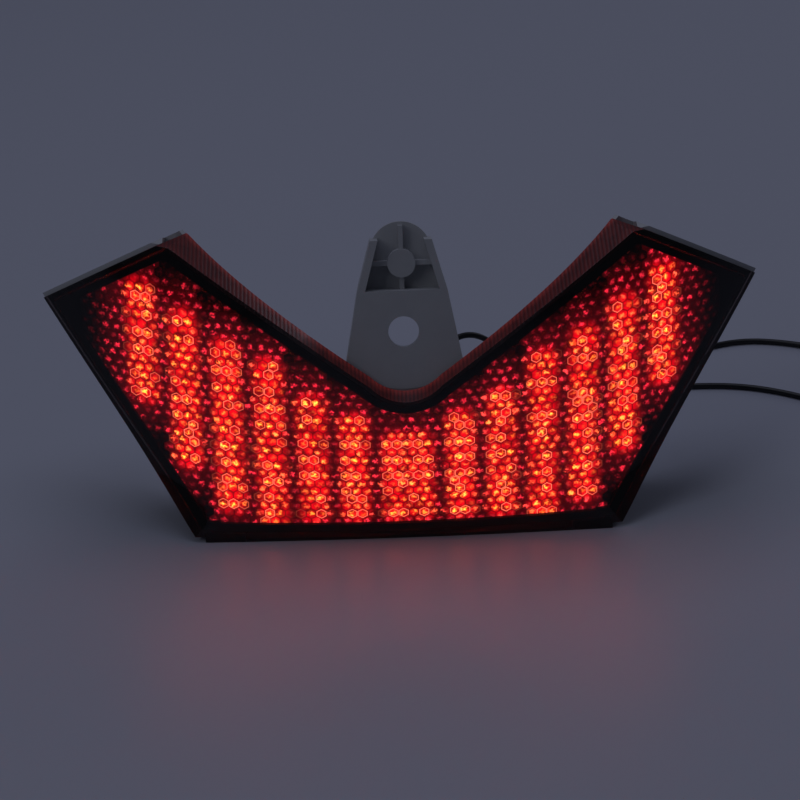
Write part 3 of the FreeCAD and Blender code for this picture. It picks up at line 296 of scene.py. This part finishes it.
        return light, add(tree, "Math", {0: ripple}, operation="COSINE")

    point_mm = add(tree, "VectorMath", {0: flat, 1: (1000, 1000, 0)}, operation="MULTIPLY")
    centre_mm = add(tree, "VectorMath", {0: point_mm, 1: local}, operation="SUBTRACT")
    haze, _ = column_light(point_mm, 4.6, 4.4)
    cell_light, near_led = column_light(centre_mm, 4.2, 3.0)
    wide_light, _ = column_light(centre_mm, 12.0, 12.0)

    # hot spark
    gain = add(tree, "MapRange", {0: near_led, 1: -1.0, 2: 1.0, 3: 0.45, 4: 1.25})
    luck = add(tree, "MapRange", {0: chance["Value"], 1: 0.1, 3: 0.15, 4: 1.5})
    hot = add(tree, "Math", {0: cell_light, 1: gain}, operation="MULTIPLY")
    hot = add(tree, "Math", {0: hot, 1: luck}, operation="MULTIPLY")
    hot = add(tree, "Math", {0: hot, 1: spark}, operation="MULTIPLY")
    # bright rim of some lenslets in front of an LED
    rim_in = add(tree, "MapRange", {0: edge, 1: 0.38 * LENSLET, 2: 0.43 * LENSLET, 3: 0.0, 4: 1.0})
    rim_out = add(tree, "MapRange", {0: edge, 1: 0.465 * LENSLET, 2: 0.495 * LENSLET, 3: 1.0, 4: 0.0})
    picked = add(tree, "SeparateColor", {0: chance["Color"]}).node.outputs[2]
    picked = add(tree, "Math", {0: near_led, 1: 0.5, 2: picked}, operation="MULTIPLY_ADD")
    picked = add(tree, "Math", {0: picked, 1: 0.72}, operation="GREATER_THAN")
    rim = add(tree, "Math", {0: rim_in, 1: rim_out}, operation="MULTIPLY")
    rim = add(tree, "Math", {0: rim, 1: picked}, operation="MULTIPLY")
    rim_light = add(tree, "Math", {0: cell_light, 1: 1.5}, operation="POWER")
    rim = add(tree, "Math", {0: rim, 1: rim_light}, operation="MULTIPLY")
    # groove between the lenslets
    groove = add(tree, "MapRange", {0: edge, 1: 0.40 * LENSLET, 2: 0.50 * LENSLET, 3: 1.0, 4: 0.12})
    # the red fill light is painted uneven, brighter and dimmer in patches
    uneven_fill_light = add(tree, "TexNoise", {"Vector": place, "Scale": 1 / (2.6 * MM), "Detail": 2.0})
    patchy = add(tree, "MapRange", {0: uneven_fill_light, 1: 0.35, 2: 0.65, 3: 0.25, 4: 1.15})
    filled = add(tree, "Math", {0: haze, 1: groove}, operation="MULTIPLY")
    filled = add(tree, "Math", {0: filled, 1: patchy}, operation="MULTIPLY")
    # dim sparks away from the columns
    dim = add(tree, "Math", {0: wide_light, 1: spark}, operation="MULTIPLY")
    dim = add(tree, "Math", {0: dim, 1: luck}, operation="MULTIPLY")
    dim = add(tree, "Math", {0: dim, 1: groove}, operation="MULTIPLY")

    parts = ((filled, FILLED_RED), (hot, HOT_SPARK), (rim, BRIGHT_RIM), (dim, DIM_SPARK),
             (wide_light, FAR_RED))
    total = None
    for amount, colour in parts:
        lit = add(tree, "VectorMath", {0: colour}, operation="SCALE").node
        tree.links.new(amount, lit.inputs["Scale"])
        if total is None:
            total = lit.outputs[0]
        else:
            total = add(tree, "VectorMath", {0: total, 1: lit.outputs[0]}, operation="ADD")
    dome = add(tree, "Math", {0: edge, 1: edge}, operation="MULTIPLY")
    height = add(tree, "Math", {0: dome, 1: -1.0}, operation="MULTIPLY")
    bump = add(tree, "Bump", {"Strength": 1.0, "Distance": 0.25 * MM, "Height": height})
    shade = add(tree, "MapRange", {0: edge, 1: 0.3 * LENSLET, 2: 0.5 * LENSLET, 3: 1.0, 4: 0.35})
    base = add(tree, "Mix", {0: shade, 6: linear("#14090a"), 7: linear("#4a1412")}, data_type="RGBA")
    tree.links.new(base.node.outputs[2], skin.inputs["Base Color"])
    tree.links.new(bump, skin.inputs["Normal"])
    tree.links.new(total, skin.inputs["Emission Color"])
    skin.inputs["Emission Strength"].default_value = PLATE_GLOW
    skin.inputs["Roughness"].default_value = 0.15
    return material


MATERIALS = {
    # ABS, moulded with a fine spark-eroded grain: soft light grey that takes the red glow
    "housing": moulded("abs_housing_grey", "#aeb0b3", "#b3b5b7", 0.46, 0.45, 0.02),
    # black acetal mask, matt so that it shows no reflection behind the lens
    "mask": moulded("black_mask_frame", "#060606", "#0a0a0a", 0.7, 0.4, 0.02),
    # silicone bead that closes the lens: black, with a faint gloss
    "sealant": moulded("silicone_bead_black", "#1a0a0a", "#241010", 0.4, 0.8, 0.05),
    # white solder resist on glass-epoxy board, a little uneven over the weave
    "board": moulded("board_white_resist", "#c9cbc6", "#d6d8d2", 0.35, 0.5, 0.02),
    # tinted epoxy of the LEDs, glossy
    "led": moulded("epoxy_led_red", "#8e1410", "#a51a14", 0.12, 1.2, 0.01, coat=0.6),
    "resistor": moulded("resistor_lacquer_blue", "#4f7f97", "#5f91a8", 0.4, 0.5, 0.03),
    "diode": moulded("diode_black_epoxy", "#0c0c0d", "#151516", 0.3, 0.4, 0.01),
    "wire": moulded("wire_sheath_red", "#8c1713", "#a11f19", 0.4, 0.6, 0.01),
    # PVC lead sheath: black, slightly silky, with a fine drawn grain
    "lead": moulded("pvc_lead_black", "#0b0b0c", "#141416", 0.38, 0.5, 0.02),
    "grommet": moulded("epdm_grommet_black", "#101011", "#19191a", 0.62, 0.3, 0.02),
    "connector": moulded("nylon_plug_black", "#111113", "#1a1a1d", 0.36, 0.35, 0.02),
    "sleeve": moulded("soft_pvc_sleeve_black", "#131315", "#1c1c1f", 0.42, 0.5, 0.02),
    "tie": moulded("nylon_tie_black", "#0e0e0f", "#161617", 0.34, 0.4, 0.01),
    # zinc-plated steel: grey with a blue cast, dull in the recess
    "screw": brushed("zinc_plated_steel", "#8f9498", "#b9bec2", 0.3),
    # tinned brass contacts
    "contact": brushed("tinned_brass", "#a98f55", "#cbb680", 0.25),
    "prism": lit_prism(),
}


def dress_nodes():
    """Give every carried-over node the finish of its material slot."""
    for part in frame["record"]["subparts"]:
        finish = MATERIALS.get(part["material_slot"])
        if finish is None:
            continue
        data = nodes[part["node"]].data
        data.materials.clear()
        data.materials.append(finish)


# ---------------------------------------------------------------- lens

WELD = 0.002          # mm, vertices closer than this are one
VEE_HALF = 80.0       # mm, the ribbed walls lie within this of the middle
EDGE_EASE = 0.35      # mm, rounding of the lens edges


def make_lens():
    """The smoked lens: polished clear face, ribbed V walls painted lit red by the LEDs inside, and outer
    walls painted darker as shade.
    """
    bm = bmesh.new()
    bm.from_mesh(nodes["lens"].data)
    bmesh.ops.remove_doubles(bm, verts=bm.verts, dist=WELD * MM)
    for face in bm.faces:
        face.smooth = True
        # slot 1, the upward faces in the V, is the wall painted lit red; slot 2, the other walls, is the
        # same acrylic painted darker as shade
        if abs(face.normal.y) > 0.5:
            face.material_index = 0
        elif face.normal.z > 0.25 and abs(face.calc_center_median().x) < VEE_HALF * MM:
            face.material_index = 1
        else:
            face.material_index = 2
    for edge in bm.edges:
        edge.smooth = len(edge.link_faces) == 2 and edge.calc_face_angle() < math.radians(25)
    mesh = bpy.data.meshes.new("smoked_lens")
    bm.to_mesh(mesh)
    bm.free()
    lens = bpy.data.objects.new("smoked_lens", mesh)
    bpy.context.scene.collection.objects.link(lens)
    mesh.materials.append(smoked_acrylic())
    # painted light: the V walls get a light red tone and a painted glow of the LEDs; the outer walls get
    # the same acrylic painted dark as shade, with a fainter painted glow
    mesh.materials.append(smoked_wall("smoked_acrylic_vee_ribs_painted_glow", "#30090b", "#5c1b1a", 0.12, 5.0))
    mesh.materials.append(smoked_wall("smoked_acrylic_wall_painted_shade_and_glow", "#0d0505", "#1c0a09", 0.1, 1.0))
    ease = lens.modifiers.new("ease", "BEVEL")
    ease.width, ease.segments = EDGE_EASE * MM, 2
    ease.limit_method, ease.angle_limit = "ANGLE", math.radians(40)
    ease.harden_normals = True
    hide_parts("lens")
    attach(lens, "root")


# ---------------------------------------------------------------- leads

SIGNAL_ROUTE = [
    (10.0, 4.3, 33.0), (10.0, 11.7, 33.0), (12.0, 21.2, 38.5), (18.6, 27.7, 42.6), (27.5, 32.2, 40.0),
    (35.0, 35.7, 29.5), (43.5, 41.7, 17.0), (54.0, 49.7, 6.2), (66.5, 59.7, 1.6), (81.0, 71.2, 1.0),
    (96.0, 84.2, 1.0), (110.0, 93.7, 1.0), (125.0, 98.2, 1.0), (140.0, 95.2, 1.0), (154.0, 87.7, 1.2),
]
MAIN_ROUTE = [
    (10.0, 4.3, 14.0), (10.0, 11.2, 14.0), (13.2, 21.2, 9.0), (21.0, 29.7, 3.0), (32.0, 36.2, 1.0),
    (46.0, 41.7, 1.0), (61.0, 49.2, 1.0), (75.0, 57.7, 1.0), (89.0, 63.7, 1.0), (104.0, 64.7, 1.0),
    (119.0, 63.2, 1.0), (132.5, 57.7, 1.0), (145.0, 49.2, 1.0), (155.5, 39.7, 1.2),
]
SIGNAL_COIL, SIGNAL_COIL_START = (158.7, 69.6), 51.7   # mm and degrees
MAIN_COIL, MAIN_COIL_START = (156.2, 23.4), 45.0
LEAD_RADIUS = 1.0      # mm
COIL_MIDDLE = 3.0      # mm, height of the middle of a coil
COIL_OUTER = 12.7      # mm, radius of the outer turn
COIL_STEP = 2.03       # mm from turn to turn
COIL_LAYER = 2.1       # mm from the lower layer to the upper
COIL_TURNS = 3
POINTS_A_TURN = 18
TAIL_OUT = 11.0        # mm from the middle of a coil to its tail


def coil_turns(centre, start_angle):
    """Three turns and a bit, clockwise: inwards on the lower layer, back outwards on the upper."""
    turns = COIL_TURNS + start_angle / 360
    steps = POINTS_A_TURN * COIL_TURNS + round(POINTS_A_TURN * start_angle / 360)
    points = []
    for step in range(steps + 1):
        turn = turns * step / steps
        inward = min(turn, turns - turn)
        radius = COIL_OUTER - COIL_STEP * inward
        rise = min(max((turn - turns / 2) * 6 + 0.5, 0.0), 1.0)
        height = COIL_MIDDLE - COIL_LAYER / 2 + COIL_LAYER * rise
        angle = math.radians(start_angle - 360 * turn)
        x, y = centre[0] + radius * math.cos(angle), centre[1] + radius * math.sin(angle)
        points.append((x, y, height))
    return points


def make_lead(name, route, centre, start_angle, replaced):
    """One free lead from its grommet to its connector, with the rest of it in a tied coil."""
    points = list(route) + coil_turns(centre, start_angle)
    x, y = centre[0] + TAIL_OUT, centre[1]
    points += [(x + 1.5, y - 4.5, 4.0), (x + 0.5, y - 9.5, 3.4), (x, y - 13.5, COIL_MIDDLE),
               (x, y - 18.0, COIL_MIDDLE)]
    data = bpy.data.curves.new(name, "CURVE")
    data.dimensions = "3D"
    data.bevel_depth = LEAD_RADIUS * MM
    data.bevel_resolution = 5
    data.resolution_u = 8
    data.use_fill_caps = True
    spline = data.splines.new("NURBS")
    spline.points.add(len(points) - 1)
    for spot, point in zip(spline.points, points):
        spot.co = (point[0] * MM, point[1] * MM, point[2] * MM, 1.0)
    spline.order_u = 3
    spline.use_endpoint_u = True
    spline.use_smooth = True
    lead = bpy.data.objects.new(name, data)
    bpy.context.scene.collection.objects.link(lead)
    data.materials.append(MATERIALS["lead"])
    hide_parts(*replaced)
    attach(lead, "root")


# ---------------------------------------------------------------- stage

FLOOR_HALF = 3.0        # metres
SURROUND_STRENGTH = 0.12
# name, place, target, size in metres, power in watts, colour
LIGHTS = (("overhead", (-0.1, 0.25, 1.1), (0, 0, 0.03), 0.9, 1.8, "#dfe4ff"),
          ("left_front", (-0.8, -0.7, 0.9), (0, 0, 0.05), 0.6, 0.9, "#eef0ff"),
          ("behind_right", (0.7, 0.9, 0.5), (0, 0, 0.05), 0.5, 0.55, "#e6e9ff"))


def make_stage():
    """Plain pale floor under dim, soft, slightly cool light."""
    bm = bmesh.new()
    bmesh.ops.create_grid(bm, x_segments=1, y_segments=1, size=FLOOR_HALF)
    mesh = bpy.data.meshes.new("floor")
    bm.to_mesh(mesh)
    bm.free()
    floor = bpy.data.objects.new("floor", mesh)
    bpy.context.scene.collection.objects.link(floor)
    material, tree, skin, place = new_material("pale_floor_card")
    tone = add(tree, "TexNoise", {"Vector": place, "Scale": 1 / (3 * MM), "Detail": 2.0})
    sheen = add(tree, "MapRange", {0: tone, 3: 0.3, 4: 0.42})
    tree.links.new(sheen, skin.inputs["Roughness"])
    skin.inputs["Base Color"].default_value = linear("#b9bcc8")
    mesh.materials.append(material)

    world = bpy.data.worlds.new("soft_surround")
    world.use_nodes = True
    background = world.node_tree.nodes["Background"]
    background.inputs["Color"].default_value = linear("#8b90a6")
    background.inputs["Strength"].default_value = SURROUND_STRENGTH
    bpy.context.scene.world = world

    for name, spot, target, size, power, colour in LIGHTS:
        data = bpy.data.lights.new(name, "AREA")
        data.size, data.energy, data.color = size, power, linear(colour)[:3]
        light = bpy.data.objects.new(name, data)
        aim = Vector(target) - Vector(spot)
        turn = aim.to_track_quat("-Z", "Y").to_matrix().to_4x4()
        light.matrix_world = Matrix.Translation(spot) @ turn
        bpy.context.scene.collection.objects.link(light)


bpy.context.scene.view_settings.view_transform = "Standard"
set_camera()
dress_nodes()
make_lead("signal_lead", SIGNAL_ROUTE, SIGNAL_COIL, SIGNAL_COIL_START,
          ("lead_signal", "lead_signal_coil", "lead_signal_tail"))
make_lead("main_lead", MAIN_ROUTE, MAIN_COIL, MAIN_COIL_START,
          ("lead_main", "lead_main_coil", "lead_main_tail"))
make_lens()
make_stage()
